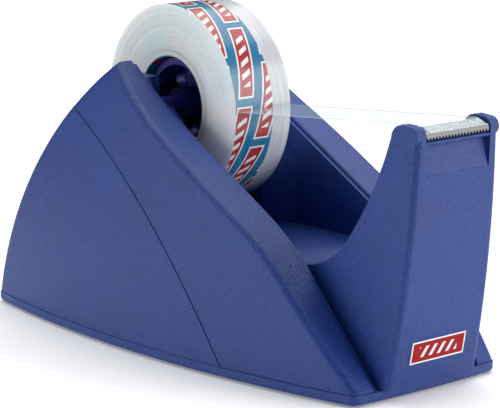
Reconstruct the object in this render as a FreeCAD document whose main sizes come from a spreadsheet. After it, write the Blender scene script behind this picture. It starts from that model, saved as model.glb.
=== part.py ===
import FreeCAD, Part
import os
from math import cos, radians, sin, sqrt, tan

import Sketcher

# A heavy desk tape dispenser. Two flared sails stand either side of a roll well, a hood closes the
# back, and a tower at the front carries the cutter. Millimetres; +X points to the cutter, +Z up, and
# the origin is on the table under the middle of the length.

V = FreeCAD.Vector
REACH = 100.0  # further than any face of the body, for cuts that run right through

# Driving dimensions: alias, value, meaning.
SIZES = [
    ("pad_thickness", 0.45, "how far the rubber pads lift the plate"),
    ("pad_radius", 6.0, "non-slip pad"),
    ("pad_front_x", 59.0, "front pair of pads"),
    ("pad_front_y", 16.5, "front pair of pads"),
    ("pad_rear_x", -67.0, "rear pair of pads"),
    ("pad_rear_y", 20.5, "rear pair of pads"),
    ("plate_top", 3.0, "top face of the base plate"),
    ("plate_rear_x", -76.9, "rear edge of the plate"),
    ("plate_front_x", 68.8, "front edge of the plate on the centre line"),
    ("plate_corner", 3.0, "rounding of the plate's corners"),
    ("plate_edge", 0.9, "rounding of the plate's lower rim"),
    ("plate_front_bow", 0.97, "how far the plate's front edge bulges"),
    ("plan_radius", 330.0, "curve of the flanks seen from above"),
    ("plan_centre_x", -14.1, "where the body is widest"),
    ("upright_radius", 262.0, "curve of the flanks seen end on"),
    ("half_width", 35.2, "half the width of the plate at its widest"),
    ("hood_step", 0.2, "how far the hood stands inside the plate's rim"),
    ("shell_step", 0.35, "how far the side shells stand inside the plate's rim"),
    ("toe_step", 1.1, "how far the toe of each sail stands behind the plate's front"),
    ("toe_corner", 3.0, "rounding of the sail's toe seen from above"),
    ("wall", 2.2, "wall of the moulded shells"),
    ("lining", 1.6, "wall of the shells towards the well"),
    ("well_gap", 0.2, "gap between the centre body and the shells"),
    ("sail_inner_y", 17.9, "inner face of each sail"),
    ("sail_edge", 2.4, "rounding of the sail's outer edge"),
    ("sail_inner_edge", 1.0, "rounding of the sail's inner edge"),
    ("back_centre_x", 39.92, "centre of the back's curve"),
    ("back_centre_z", -25.14, "centre of the back's curve"),
    ("back_radius", 119.7, "curve of the back"),
    ("knee_x", 27.2, "where the sail's edge starts to turn down"),
    ("knee_z", 41.5, "where the sail's edge starts to turn down"),
    ("knee_radius", 73.0, "curve where the edge turns down"),
    ("band_slope", 28.85, "slope of the sail's edge beside the roll, degrees"),
    ("foot_slope", 46.5, "slope of the sail's edge beside the tower, degrees"),
    ("band_length", 37.5, "straight stretch of the sail's edge"),
    ("tip_radius", 124.0, "hollow curve that runs up to the sail's tip"),
    ("seam_centre_x", -96.9, "centre of the seam's curve"),
    ("seam_centre_z", -74.33, "centre of the seam's curve"),
    ("seam_radius", 145.5, "seam between the hood and the side shells"),
    ("seam_gap", 0.2, "width of the seam"),
    ("roll_axis_x", -21.2, "axis of the tape roll"),
    ("roll_axis_z", 62.0, "axis of the tape roll"),
    ("roll_radius", 27.2, "full roll of 33 m"),
    ("tape_width", 19.0, "width of the tape"),
    ("core_bore", 13.0, "bore radius of the tape's core"),
    ("core_wall", 1.6, "wall of the core"),
    ("well_radius", 32.8, "rear of the well, round the roll axis"),
    ("well_half_width", 16.8, "inner faces of the well's walls"),
    ("well_rim_drop", 0.9, "how far the well's walls stay under the sails"),
    ("floor_wall", 1.8, "thickness of the well's floor"),
    ("well_front_x", 36.8, "where the floor starts to rise into the tower"),
    ("well_skirt_setback", 13.0, "how far the well's skirt starts ahead of the well's rear"),
    ("tower_front_centre_x", -250.25, "centre of the tower front's curve"),
    ("tower_front_centre_z", 73.94, "centre of the tower front's curve"),
    ("tower_front_radius", 327.5, "curve of the tower's front"),
    ("tower_back_centre_x", -21.26, "centre of the tower back's curve"),
    ("tower_back_centre_z", 93.92, "centre of the tower back's curve"),
    ("tower_back_radius", 93.81, "curve of the tower's back"),
    ("brow_z", 66.1, "where the tower's front starts to round over"),
    ("nape_z", 65.5, "where the tower's back starts to round over"),
    ("tower_top", 69.0, "top of the tower's cheeks"),
    ("crown_fall", 0.25, "how far the cheeks' top falls to the front"),
    ("brow_reach", 2.4, "how far the front rounding reaches back"),
    ("brow_bulge_x", 0.62, "middle of the front rounding, behind the brow"),
    ("brow_bulge_z", 0.95, "middle of the front rounding, below the top"),
    ("nape_reach", 3.5, "how far the rear rounding reaches forward"),
    ("nape_bulge_x", 1.03, "middle of the rear rounding, ahead of the nape"),
    ("nape_bulge_z", 1.03, "middle of the rear rounding, below the top"),
    ("tower_foot_half_width", 16.1, "tower at the plate"),
    ("waist_height", 12.0, "waist of the tower above the plate"),
    ("tower_waist_half_width", 15.5, "tower at its waist"),
    ("tower_top_half_width", 13.85, "tower at its top"),
    ("tower_edge", 1.75, "rounding of the tower's front edges"),
    ("cheek_inner_y", 11.0, "inner faces of the cheeks beside the blade"),
    ("recess_bottom", 56.9, "lower edge of the finger recess"),
    ("recess_top", 64.2, "upper edge of the finger recess"),
    ("recess_depth", 2.0, "depth of the finger recess at its top"),
    ("recess_lip", 0.55, "depth of the finger recess at its bottom"),
    ("recess_floor", 3.0, "solid plastic below the finger recess"),
    ("tower_boss_top", 36.0, "top of the screw boss inside the tower"),
    ("tower_rib_front_x", 71.0, "rib that braces that boss"),
    ("tower_rib_half", 0.8, "half thickness of that rib"),
    ("bearing_inner_y", 11.2, "inner faces of the bearing blocks"),
    ("bearing_top", 7.7, "rear horn of a block above the roll axis"),
    ("bearing_front_lift", 0.3, "front of a block's slot above the roll axis"),
    ("bearing_root", 0.3, "how far a block runs into the well's wall"),
    ("bearing_half_length", 14.0, "half length of a block's inner face"),
    ("bearing_foot_half_length", 22.0, "half length of a block where it meets the wall"),
    ("stub_radius", 2.5, "stub axles of the hub"),
    ("stub_end_y", 14.4, "outer ends of the stub axles"),
    ("stub_clearance", 0.08, "running clearance of the stubs in their slots"),
    ("slot_end_y", 14.8, "closed ends of the axle slots"),
    ("hub_rim_radius", 12.4, "outside of the hub's rim"),
    ("hub_rim_inner", 10.6, "inside of the hub's rim"),
    ("hub_rib_radius", 12.89, "ribs that grip the core"),
    ("hub_rib_half", 0.6, "half thickness of a rib"),
    ("hub_inset", 2.5, "hub's rim inside the edges of the tape"),
    ("hub_web", 1.4, "half thickness of the hub's web"),
    ("hub_boss_radius", 4.4, "boss round the stub axle"),
    ("hub_ring_radius", 7.9, "where the web's windows and rivets lie"),
    ("hub_window_radius", 1.9, "windows in the web"),
    ("rivet_radius", 0.8, "rivets that join the hub's halves"),
    ("rivet_head_radius", 1.5, "heads of the rivets"),
    ("rivet_head_height", 0.6, "heads of the rivets"),
    ("rivet_clearance", 0.05, "rivet in its hole"),
    ("holder_half_width", 10.9, "blade holder between the cheeks"),
    ("blade_half_width", 10.7, "cutter blade"),
    ("blade_thickness", 0.4, "spring steel of the blade"),
    ("blade_x", 76.72, "back of the blade's lower rim"),
    ("blade_z", 67.0, "inside of the blade's bend"),
    ("blade_lean", 0.4, "how far the bend lies behind the lower rim"),
    ("blade_flat", 2.6, "length of the blade's upper part"),
    ("blade_rise", 0.87, "how far the upper part rises to the rear"),
    ("blade_drop", 1.5, "height of the blade's bent front"),
    ("blade_bend", 0.35, "rounding outside the bend"),
    ("holder_rear_x", 68.1, "rear of the blade holder"),
    ("holder_front_x", 77.1, "front lip of the blade holder"),
    ("holder_seat", 64.3, "underside of the blade holder"),
    ("lip_chamfer", 0.3, "lower edge of the holder's front lip"),
    ("lip_height", 0.8, "front lip of the holder"),
    ("lip_slope", 0.4, "rise of the lip's top to the rear"),
    ("lip_length", 0.9, "lip behind the blade's lower rim"),
    ("blade_bed", 0.03, "holder's top over the inside of the blade's bend"),
    ("blade_gap", 0.17, "holder behind the blade's bent front"),
    ("holder_top_length", 3.5, "holder's slope behind its top"),
    ("holder_rear_drop", 1.0, "holder's rear edge below the blade's bend"),
    ("holder_edge", 0.6, "rounding of the holder's rear edges"),
    ("tooth_pitch", 1.09, "spacing of the blade's teeth"),
    ("tooth_depth", 0.85, "depth of the blade's teeth"),
    ("label_half_width", 9.3, "label on the tower's front"),
    ("label_bottom", 8.8, "label on the tower's front"),
    ("label_top", 14.6, "label on the tower's front"),
    ("label_thickness", 0.2, "label on the tower's front"),
    ("screw_radius", 1.4, "shank of the self-tapping screws"),
    ("screw_head_radius", 2.8, "countersunk head"),
    ("screw_length", 9.0, "shank above the head"),
    ("screw_sink", 0.3, "head below the plate's underside"),
    ("screw_tip_radius", 0.4, "blunt end of the screw"),
    ("screw_tip_length", 1.2, "tapered end of the screw"),
    ("cross_arm", 1.54, "arms of the cross recess"),
    ("cross_half_width", 0.35, "arms of the cross recess"),
    ("cross_depth", 0.8, "cross recess"),
    ("boss_radius", 3.2, "screw bosses inside the mouldings"),
    ("boss_roof", 4.0, "boss above the screw's shank"),
    ("boss_clearance", 0.1, "pilot hole over the screw's shank"),
    ("ballast_rear_x", -26.0, "cast ballast block"),
    ("ballast_front_x", 44.0, "cast ballast block"),
    ("ballast_half_width", 12.2, "cast ballast block"),
    ("ballast_top", 24.0, "cast ballast block"),
    ("ballast_corner", 3.0, "cast ballast block"),
    ("tail_thickness", 0.15, "free end of the tape"),
    ("tail_clearance", 0.3, "tape end over the roll and the blade"),
    ("tail_start_z", 63.3, "where the tape leaves the roll"),
]

# Screws up through the plate: x and y of each. Those beside the middle come in mirrored pairs.
CENTRE_SCREWS = [(-31.0, 0.0), (56.0, 0.0)]
SIDE_SCREWS = [(32.0, 24.0), (46.0, 21.0)]
HOOD_SCREWS = [(-52.0, 20.0), (-6.0, 24.5)]
BALLAST_SCREWS = [(-3.0, 0.0), (32.0, 0.0)]
RIBS = 12
WINDOWS = 8
RIVETS = 4

doc = FreeCAD.newDocument("tape_dispenser")
sheet = doc.addObject("Spreadsheet::Sheet", "sizes")
parts = []


def fill_sheet():
    for row, (alias, value, meaning) in enumerate(SIZES, start=1):
        sheet.set(f"A{row}", meaning)
        sheet.set(f"B{row}", str(value))
        sheet.setAlias(f"B{row}", alias)
    doc.recompute()


def size(alias):
    return float(sheet.get(alias))


def bind(thing, prop, formula):
    """Ties a property to a formula whose words are the sheet's aliases, each written as sizes.alias."""
    thing.setExpression(prop, formula)


def value_of(formula):
    """The number that a formula gives now, for a sketch's first drawing."""
    return float(sheet.evalExpression(formula))


# ---------------------------------------------------------------- sketch helpers


def new_body(label):
    body = doc.addObject("PartDesign::Body", label)
    body.Label = label
    parts.append(body)
    return body


def new_sketch(body, name, role):
    sketch = body.newObject("Sketcher::SketchObject", name)
    plane = next(f for f in body.Origin.OriginFeatures if f.Role == role)
    sketch.AttachmentSupport = (plane, "")
    sketch.MapMode = "FlatFace"
    return sketch


def pin_point(sketch, geometry, position, formulas):
    """Fixes a point of the sketch at two formulas."""
    for kind, formula in zip(("DistanceX", "DistanceY"), formulas):
        place = value_of(formula)
        index = sketch.addConstraint(Sketcher.Constraint(kind, -1, 1, geometry, position, place))
        bind(sketch, f"Constraints[{index}]", formula)


def outline(sketch, corners):
    """Draws a closed outline. A corner is (x, y), or (x, y, through_x, through_y) to be reached by an arc."""
    spots = [V(value_of(c[0]), value_of(c[1]), 0) for c in corners]
    edges = []
    for i, corner in enumerate(corners):
        start = spots[i - 1]
        end = spots[i]
        if len(corner) == 2:
            edges.append(sketch.addGeometry(Part.LineSegment(start, end), False))
            continue
        middle = V(value_of(corner[2]), value_of(corner[3]), 0)
        arc = Part.Arc(start, middle, end)
        edges.append(sketch.addGeometry(arc, False))
        flipped = sketch.Geometry[edges[-1]].StartPoint.distanceToPoint(start) > 1e-6
        point = sketch.addGeometry(Part.Point(middle), True)
        pin_point(sketch, point, 1, corner[2:])
        sketch.addConstraint(Sketcher.Constraint("PointOnObject", point, 1, edges[-1]))
        edges[-1] = (edges[-1], flipped)
    edges = [e if isinstance(e, tuple) else (e, False) for e in edges]
    for i, (edge, flipped) in enumerate(edges):
        following, following_flipped = edges[(i + 1) % len(edges)]
        my_end = 1 if flipped else 2
        its_start = 2 if following_flipped else 1
        sketch.addConstraint(Sketcher.Constraint("Coincident", edge, my_end, following, its_start))
        pin_point(sketch, edge, my_end, corners[i][:2])


def circle(sketch, centre, radius):
    """Draws a circle with its centre and radius given as formulas."""
    middle = V(value_of(centre[0]), value_of(centre[1]), 0)
    edge = sketch.addGeometry(Part.Circle(middle, V(0, 0, 1), value_of(radius)), False)
    pin_point(sketch, edge, 3, centre)
    index = sketch.addConstraint(Sketcher.Constraint("Radius", edge, value_of(radius)))
    bind(sketch, f"Constraints[{index}]", radius)


def pad(body, sketch, length, midplane=False, reverse=False):
    feature = body.newObject("PartDesign::Pad", f"{sketch.Name}_pad")
    feature.Profile = sketch
    feature.Midplane = midplane
    feature.Reversed = reverse
    bind(feature, "Length", length)
    sketch.Visibility = False
    return feature


def pocket_through(body, sketch):
    """Cuts the sketch both ways right through the body."""
    feature = body.newObject("PartDesign::Pocket", f"{sketch.Name}_pocket")
    feature.Profile = sketch
    feature.Type = 1
    feature.Midplane = True
    doc.recompute()
    if feature.Shape.Volume >= feature.BaseFeature.Shape.Volume - 1e-6:
        raise RuntimeError(f"{feature.Name} cuts nothing")
    return feature


def edges_where(shape, test):
    return [f"Edge{i}" for i, edge in enumerate(shape.Edges, start=1) if test(edge)]


def dress(body, kind, base, names, amount):
    """Adds a fillet or a chamfer on the named edges of the last feature."""
    feature = body.newObject(f"PartDesign::{kind}", f"{body.Label}_{kind.lower()}")
    feature.Base = (base, names)
    bind(feature, "Radius" if kind == "Fillet" else "Size", amount)
    return feature


def is_upright(edge):
    box = edge.BoundBox
    return box.ZLength > 0.5 and box.XLength < 1e-4 and box.YLength < 1e-4


def lies_at(edge, z):
    return abs(edge.BoundBox.ZMin - z) < 1e-4 and abs(edge.BoundBox.ZMax - z) < 1e-4


# ---------------------------------------------------------------- curved mouldings


def slab(wire, y_low, y_high):
    """A flat outline in the XZ plane given thickness along Y."""
    face = Part.Face(wire)
    face.translate(V(0, y_low, 0))
    return face.extrude(V(0, y_high - y_low, 0))


def block(x_low, x_high, y_low, y_high, z_low, z_high):
    return Part.makeBox(x_high - x_low, y_high - y_low, z_high - z_low, V(x_low, y_low, z_low))


def on_y_axis(radius, y_low, y_high, x, z):
    """A round bar along Y."""
    return Part.makeCylinder(radius, y_high - y_low, V(x, y_low, z), V(0, 1, 0))


def polygon(points):
    """A closed wire of straight lines in the XZ plane."""
    corners = [V(x, 0, z) for x, z in points]
    return Part.makePolygon(corners + corners[:1])


def sail_outline(inset, floor):
    """The side view of the body, shrunk by inset all round and cut off level at floor."""
    slope = radians(size("band_slope"))
    foot = radians(size("foot_slope"))
    knee = V(size("knee_x"), 0, size("knee_z"))
    outward = V(sin(slope), 0, cos(slope))
    along = V(cos(slope), 0, -sin(slope))
    knee_centre = knee - outward * size("knee_radius")
    hollow_end = knee - along * size("band_length")
    hollow_centre = hollow_end + outward * size("tip_radius")
    back_centre = V(size("back_centre_x"), 0, size("back_centre_z"))

    knee_radius = size("knee_radius") - inset
    hollow_radius = size("tip_radius") + inset
    back_radius = size("back_radius") - inset

    knee_top = knee_centre + outward * knee_radius
    foot_out = V(sin(foot), 0, cos(foot))
    knee_low = knee_centre + foot_out * knee_radius
    half_turn = (slope + foot) / 2
    knee_mid = knee_centre + V(sin(half_turn), 0, cos(half_turn)) * knee_radius
    toe = V(knee_low.x + (knee_low.z - floor) / tan(foot), 0, floor)
    heel_reach = sqrt(back_radius ** 2 - (floor - back_centre.z) ** 2)
    heel = V(back_centre.x - heel_reach, 0, floor)
    tip = circle_crossing(back_centre, back_radius, hollow_centre, hollow_radius)
    hollow_start = hollow_centre - outward * hollow_radius
    back_mid = arc_middle(back_centre, back_radius, heel, tip)
    hollow_mid = arc_middle(hollow_centre, hollow_radius, tip, hollow_start)
    return Part.Wire([
        Part.Arc(heel, back_mid, tip).toShape(),
        Part.Arc(tip, hollow_mid, hollow_start).toShape(),
        Part.LineSegment(hollow_start, knee_top).toShape(),
        Part.Arc(knee_top, knee_mid, knee_low).toShape(),
        Part.LineSegment(knee_low, toe).toShape(),
        Part.LineSegment(toe, heel).toShape(),
    ])


def circle_crossing(centre_a, radius_a, centre_b, radius_b):
    """The crossing of two circles in the XZ plane that lies on the -X side."""
    gap = centre_b - centre_a
    apart = gap.Length
    along = (apart ** 2 + radius_a ** 2 - radius_b ** 2) / (2 * apart)
    aside = sqrt(radius_a ** 2 - along ** 2)
    unit = gap / apart
    side = V(-unit.z, 0, unit.x)
    crossings = [centre_a + unit * along + side * aside, centre_a + unit * along - side * aside]
    return min(crossings, key=lambda p: p.x)


def arc_middle(centre, radius, start, end):
    middle = (start + end) / 2 - centre
    return centre + middle / middle.Length * radius


def flank(side, step):
    """Everything inside one flank: a barrel turned about an upright axis far on the other side."""
    plan = size("plan_radius")
    upright = size("upright_radius")
    low = -5.0
    high = REACH

    def reach(z):
        return plan - (upright - sqrt(upright ** 2 - z ** 2))

    arc = Part.Arc(V(reach(low), 0, low), V(reach(0), 0, 0), V(reach(high), 0, high)).toShape()
    wire = Part.Wire([
        arc,
        Part.LineSegment(V(reach(high), 0, high), V(0, 0, high)).toShape(),
        Part.LineSegment(V(0, 0, high), V(0, 0, low)).toShape(),
        Part.LineSegment(V(0, 0, low), V(reach(low), 0, low)).toShape(),
    ])
    half_sweep = 22.0
    face = Part.Face(wire)
    face.rotate(V(0, 0, 0), V(0, 0, 1), 90 * side - half_sweep)
    solid = face.revolve(V(0, 0, 0), V(0, 0, 1), 2 * half_sweep)
    middle_y = side * (size("half_width") - step - plan)
    solid.translate(V(size("plan_centre_x"), middle_y, 0))
    return solid


def screw_boss(x, y, top):
    low = size("plate_top")
    return Part.makeCylinder(size("boss_radius"), top - low, V(x, y, low))


def webbed_boss(x, y, side, step):
    """A boss joined to the flank's wall by an upright web."""
    low = size("plate_top")
    top = low + size("screw_length") + size("boss_roof")
    reach = size("half_width") + 5
    half_web = size("lining") / 2
    web = block(x - half_web, x + half_web, *sorted((side * y, side * reach)), low, top)
    web = web.common(flank(side, step + size("wall") / 2))
    return screw_boss(x, side * y, top).fuse(web)


def pilot_hole(x, y):
    """The hole that a screw cuts its thread in."""
    low = size("plate_top") - 1
    radius = size("screw_radius") + size("boss_clearance")
    return Part.makeCylinder(radius, size("screw_length") + 3, V(x, y, low))


def seam_cylinder(radius):
    reach = size("half_width") + 5
    return on_y_axis(radius, -reach, reach, size("seam_centre_x"), size("seam_centre_z"))


def round_edges(solid, amount, test):
    chosen = [edge for edge in solid.Edges if test(edge)]
    return solid.makeFillet(amount, chosen)


def is_between(edge, solid, test_a, test_b):
    """Whether an edge parts a face that passes test_a from one that passes test_b."""
    faces = [face for face in solid.Faces if any(edge.isSame(other) for other in face.Edges)]
    if len(faces) != 2:
        return False
    first, second = faces
    return (test_a(first) and test_b(second)) or (test_a(second) and test_b(first))


def is_flank_face(face):
    normal = face.normalAt(*mid_parameters(face))
    return abs(normal.y) > 0.75 and not is_flat_across(face)


def is_flat_across(face):
    return face.BoundBox.YLength < 1e-4


def is_inner_face(face):
    """The flat face of a sail that looks across the well."""
    box = face.BoundBox
    return box.YLength < 1e-4 and abs(abs(box.YMin) - size("sail_inner_y")) < 1e-4


def is_edge_band(face):
    """A face of the body's outline, seen from the side, other than the seam and the underside."""
    normal = face.normalAt(*mid_parameters(face))
    radius = getattr(face.Surface, "Radius", 0)
    if abs(radius - size("seam_radius")) < 1:
        return False
    return abs(normal.y) < 0.05 and face.BoundBox.ZMax > size("plate_top") + 1


def mid_parameters(face):
    u_low, u_high, v_low, v_high = face.ParameterRange
    return (u_low + u_high) / 2, (v_low + v_high) / 2


def add_moulding(label, shape):
    """A moulded piece whose curved shape is worked out from the sheet."""
    feature = doc.addObject("Part::Feature", label)
    feature.Label = label
    feature.Shape = shape
    feature.Placement = FreeCAD.Placement()
    parts.append(feature)


def toe_room(side, toe_x):
    """The room for one sail's toe, which turns the corner as the plate does."""
    room = block(-REACH, toe_x, *sorted((0, side * REACH)), 0, REACH)
    room = room.common(flank(side, size("shell_step")))

    def is_corner(edge):
        box = edge.BoundBox
        return box.XMin > toe_x - 0.01 and box.ZLength > REACH / 2 and abs(box.YMax + box.YMin) > 1

    return round_edges(room, size("toe_corner"), is_corner)


def side_shell(label, side):
    """One sail: a hollow shell, open below, that stops at the seam with the hood."""
    top = size("plate_top")
    reach = size("half_width") + 5
    inner = size("sail_inner_y")
    lining = inner + size("lining")
    wall = size("wall")
    span = sorted((side * inner, side * reach))
    solid = slab(sail_outline(0, top), *span)
    solid = solid.common(flank(side, size("shell_step")))
    solid = solid.cut(seam_cylinder(size("seam_radius") + size("seam_gap") / 2))
    solid = round_edges(
        solid, size("sail_edge"), lambda e: is_between(e, solid, is_flank_face, is_edge_band)
    )
    solid = round_edges(
        solid, size("sail_inner_edge"), lambda e: is_between(e, solid, is_inner_face, is_edge_band)
    )
    toe_x = size("plate_front_x") - size("toe_step")
    solid = solid.common(toe_room(side, toe_x))
    hollow_span = sorted((side * lining, side * reach))
    hollow = slab(sail_outline(wall, top - 1), *hollow_span)
    hollow = hollow.cut(block(toe_x - wall, REACH, -reach, reach, 0, REACH))
    hollow = hollow.common(flank(side, size("shell_step") + wall))
    solid = solid.cut(hollow)
    for x, y in SIDE_SCREWS:
        solid = solid.fuse(webbed_boss(x, y, side, size("shell_step")))
        solid = solid.cut(pilot_hole(x, side * y))
    add_moulding(label, solid.removeSplitter())


def rear_hood():
    """The hood wraps the back and both rear quarters, and is notched where the roll well opens."""
    top = size("plate_top")
    reach = size("half_width") + 5
    wall = size("wall")
    inner = size("sail_inner_y")
    lining = size("lining")
    axis = (size("roll_axis_x"), size("roll_axis_z"))
    well = size("well_radius") + size("floor_wall") + size("well_gap")
    solid = slab(sail_outline(0, top), -reach, reach)
    for side in (1, -1):
        solid = solid.common(flank(side, size("hood_step")))
    solid = solid.common(seam_cylinder(size("seam_radius") - size("seam_gap") / 2))
    solid = round_edges(
        solid, size("sail_edge"), lambda e: is_between(e, solid, is_flank_face, is_edge_band)
    )
    hollow = slab(sail_outline(wall, top - 1), -reach, reach)
    for side in (1, -1):
        hollow = hollow.common(flank(side, size("hood_step") + wall))
    notch = well_space(well, inner)
    notch_wall = well_space(well + lining, inner + lining)
    solid = solid.cut(hollow.cut(notch_wall))
    solid = solid.cut(notch)
    for x, y in HOOD_SCREWS:
        for side in (1, -1):
            solid = solid.fuse(webbed_boss(x, y, side, size("hood_step")))
            solid = solid.cut(pilot_hole(x, side * y))
    add_moulding("rear_hood", solid.removeSplitter())


def well_space(radius, half_width):
    """The room that the centre body takes: round about the roll, and straight down and forward."""
    x = size("roll_axis_x")
    z = size("roll_axis_z")
    drum = on_y_axis(radius, -half_width, half_width, x, z)
    rear = x - radius + size("well_skirt_setback") - 1
    front = block(rear, REACH, -half_width, half_width, -1, z)
    return drum.fuse(front)


def tower_front(inset, z):
    """A point on the curve of the tower's front."""
    radius = size("tower_front_radius") - inset
    rise = z - size("tower_front_centre_z")
    return V(size("tower_front_centre_x") + sqrt(radius ** 2 - rise ** 2), 0, z)


def tower_back(inset, z):
    """A point on the upper curve of the tower's back."""
    radius = size("tower_back_radius") + inset
    rise = z - size("tower_back_centre_z")
    return V(size("tower_back_centre_x") + sqrt(radius ** 2 - rise ** 2), 0, z)


def tower_flat_top(inset, top):
    """Straight across, for the hollow inside."""
    return [Part.LineSegment(tower_front(inset, top), tower_back(inset, top)).toShape()]


def tower_crown():
    """The rounded top of the cheeks, from front to back."""
    top = size("tower_top")
    brow = tower_front(0, size("brow_z"))
    nape = tower_back(0, size("nape_z"))
    crown_front = V(brow.x - size("brow_reach"), 0, top - size("crown_fall"))
    crown_rear = V(nape.x + size("nape_reach"), 0, top)
    brow_corner = V(brow.x - size("brow_bulge_x"), 0, top - size("brow_bulge_z"))
    nape_corner = V(nape.x + size("nape_bulge_x"), 0, top - size("nape_bulge_z"))
    return [
        Part.Arc(brow, brow_corner, crown_front).toShape(),
        Part.LineSegment(crown_front, crown_rear).toShape(),
        Part.Arc(crown_rear, nape_corner, nape).toShape(),
    ]


def tower_outline(inset, brow_z, nape_z, closing):
    """The side view of the tower, whose back sweeps up from the well floor in two tangent arcs."""
    foot_z = size("plate_top")
    floor_z = size("roll_axis_z") - size("well_radius")
    toe_x = size("well_front_x")
    back_radius = size("tower_back_radius")
    back_centre = V(size("tower_back_centre_x"), 0, size("tower_back_centre_z"))
    height = back_centre.z - floor_z
    reach = toe_x - back_centre.x
    shin_radius = (back_radius ** 2 - reach ** 2 - height ** 2) / (2 * (back_radius - height))
    shin_centre = V(toe_x, 0, floor_z + shin_radius)
    toward = (shin_centre - back_centre).normalize()
    meeting = back_centre + toward * (back_radius + inset)
    toe = V(toe_x, 0, floor_z - inset)
    shin_middle = arc_middle(shin_centre, shin_radius + inset, toe, meeting)
    foot = tower_front(inset, foot_z)
    brow = tower_front(inset, brow_z)
    nape = tower_back(inset, nape_z)
    heel = V(toe_x, 0, foot_z)
    return Part.Wire([
        Part.LineSegment(heel, foot).toShape(),
        Part.Arc(foot, tower_front(inset, (foot_z + brow_z) / 2), brow).toShape(),
        *closing,
        Part.Arc(nape, arc_middle(back_centre, back_radius + inset, nape, meeting), meeting).toShape(),
        Part.Arc(meeting, shin_middle, toe).toShape(),
        Part.LineSegment(toe, heel).toShape(),
    ])


def tower_end_view(inset):
    """The end view of the tower: a flared foot, then sides that lean in."""
    low = size("plate_top")
    waist_z = low + size("waist_height")
    top = size("tower_top") + 1
    half = [size(n) - inset for n in
            ("tower_foot_half_width", "tower_waist_half_width", "tower_top_half_width")]
    lean = (half[1] - half[2]) / (top - waist_z)
    chord = (half[0] - half[1]) / (waist_z - low)
    sag = (waist_z - low) * (chord - lean) / 4
    bend = (half[0] + half[1]) / 2 - sag
    edges = []
    for side in (1, -1):
        foot = V(0, side * half[0], low)
        waist = V(0, side * half[1], waist_z)
        crown = V(0, side * half[2], top)
        flare = Part.Arc(foot, V(0, side * bend, (low + waist_z) / 2), waist).toShape()
        edges.append((flare, Part.LineSegment(waist, crown).toShape(), foot, crown))
    roof = Part.LineSegment(edges[0][3], edges[1][3]).toShape()
    sole = Part.LineSegment(edges[1][2], edges[0][2]).toShape()
    loop = [edges[0][0], edges[0][1], roof, edges[1][1], edges[1][0], sole]
    return Part.Wire(Part.sortEdges(loop)[0])


def tower_solid(inset, side_view):
    """Where the side view and the end view agree."""
    half = size("tower_foot_half_width") + 1
    end_view = Part.Face(tower_end_view(inset)).extrude(V(120, 0, 0))
    return slab(side_view, -half, half).common(end_view)


def is_tower_front_edge(edge):
    box = edge.BoundBox
    middle = (size("well_front_x") + size("blade_x")) / 2
    return box.ZLength > 20 and box.XMin > middle and box.XLength < 12


def tower_hollow(inset):
    """The room inside the tower, up to a little below the finger recess."""
    top = size("recess_bottom") - size("recess_floor")
    return tower_solid(inset, tower_outline(inset, top, top, tower_flat_top(inset, top)))


def tower():
    """The hollow tower with two cheeks at its top and a finger recess below the blade."""
    brow_z = size("brow_z")
    nape_z = size("nape_z")
    outside = tower_solid(0, tower_outline(0, brow_z, nape_z, tower_crown()))
    outside = round_edges(outside, size("tower_edge"), is_tower_front_edge)
    solid = outside.cut(tower_hollow(size("wall")))
    cheek = size("cheek_inner_y")
    front = size("tower_front_centre_x") + size("tower_front_radius")
    lip = front - size("recess_depth")
    outside_x = front + 2
    recess = polygon([
        (outside_x, size("recess_bottom") - 2),
        (front - size("recess_lip"), size("recess_bottom")),
        (lip, size("recess_top")),
        (size("well_front_x"), size("recess_top")),
        (size("well_front_x"), REACH),
        (outside_x, REACH),
    ])
    return solid.cut(slab(recess, -cheek, cheek))


def bearing_block(side):
    """A block on the well's wall, with a horn behind an open slot for the hub's stub axle."""
    x = size("roll_axis_x")
    z = size("roll_axis_z")
    inner = side * size("bearing_inner_y")
    outer = side * (size("well_half_width") + size("bearing_root"))
    near = size("bearing_half_length")
    far = size("bearing_foot_half_length")
    horn = size("bearing_top")
    stub = size("stub_radius")
    floor = z - size("well_radius")
    corners = [V(x - far, outer, floor), V(x - near, inner, floor),
               V(x + near, inner, floor), V(x + far, outer, floor)]
    solid = Part.Face(Part.makePolygon(corners + corners[:1])).extrude(V(0, 0, REACH))
    profile = polygon([
        (x - far, floor), (x + far, floor), (x + far, z - 2 * horn),
        (x + stub, z + size("bearing_front_lift")), (x - stub, z + horn), (x - far, z + horn),
    ])
    solid = solid.common(slab(profile, *sorted((0, outer))))
    rim = sail_outline(size("well_rim_drop"), size("plate_top"))
    solid = solid.common(slab(rim, *sorted((0, outer))))
    slot_radius = stub + size("stub_clearance")
    slot_span = sorted((inner - side, side * size("slot_end_y")))
    slot = on_y_axis(slot_radius, *slot_span, x, z)
    mouth = block(x - slot_radius, x + slot_radius, *slot_span, z, REACH)
    return solid.cut(slot.fuse(mouth))


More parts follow.
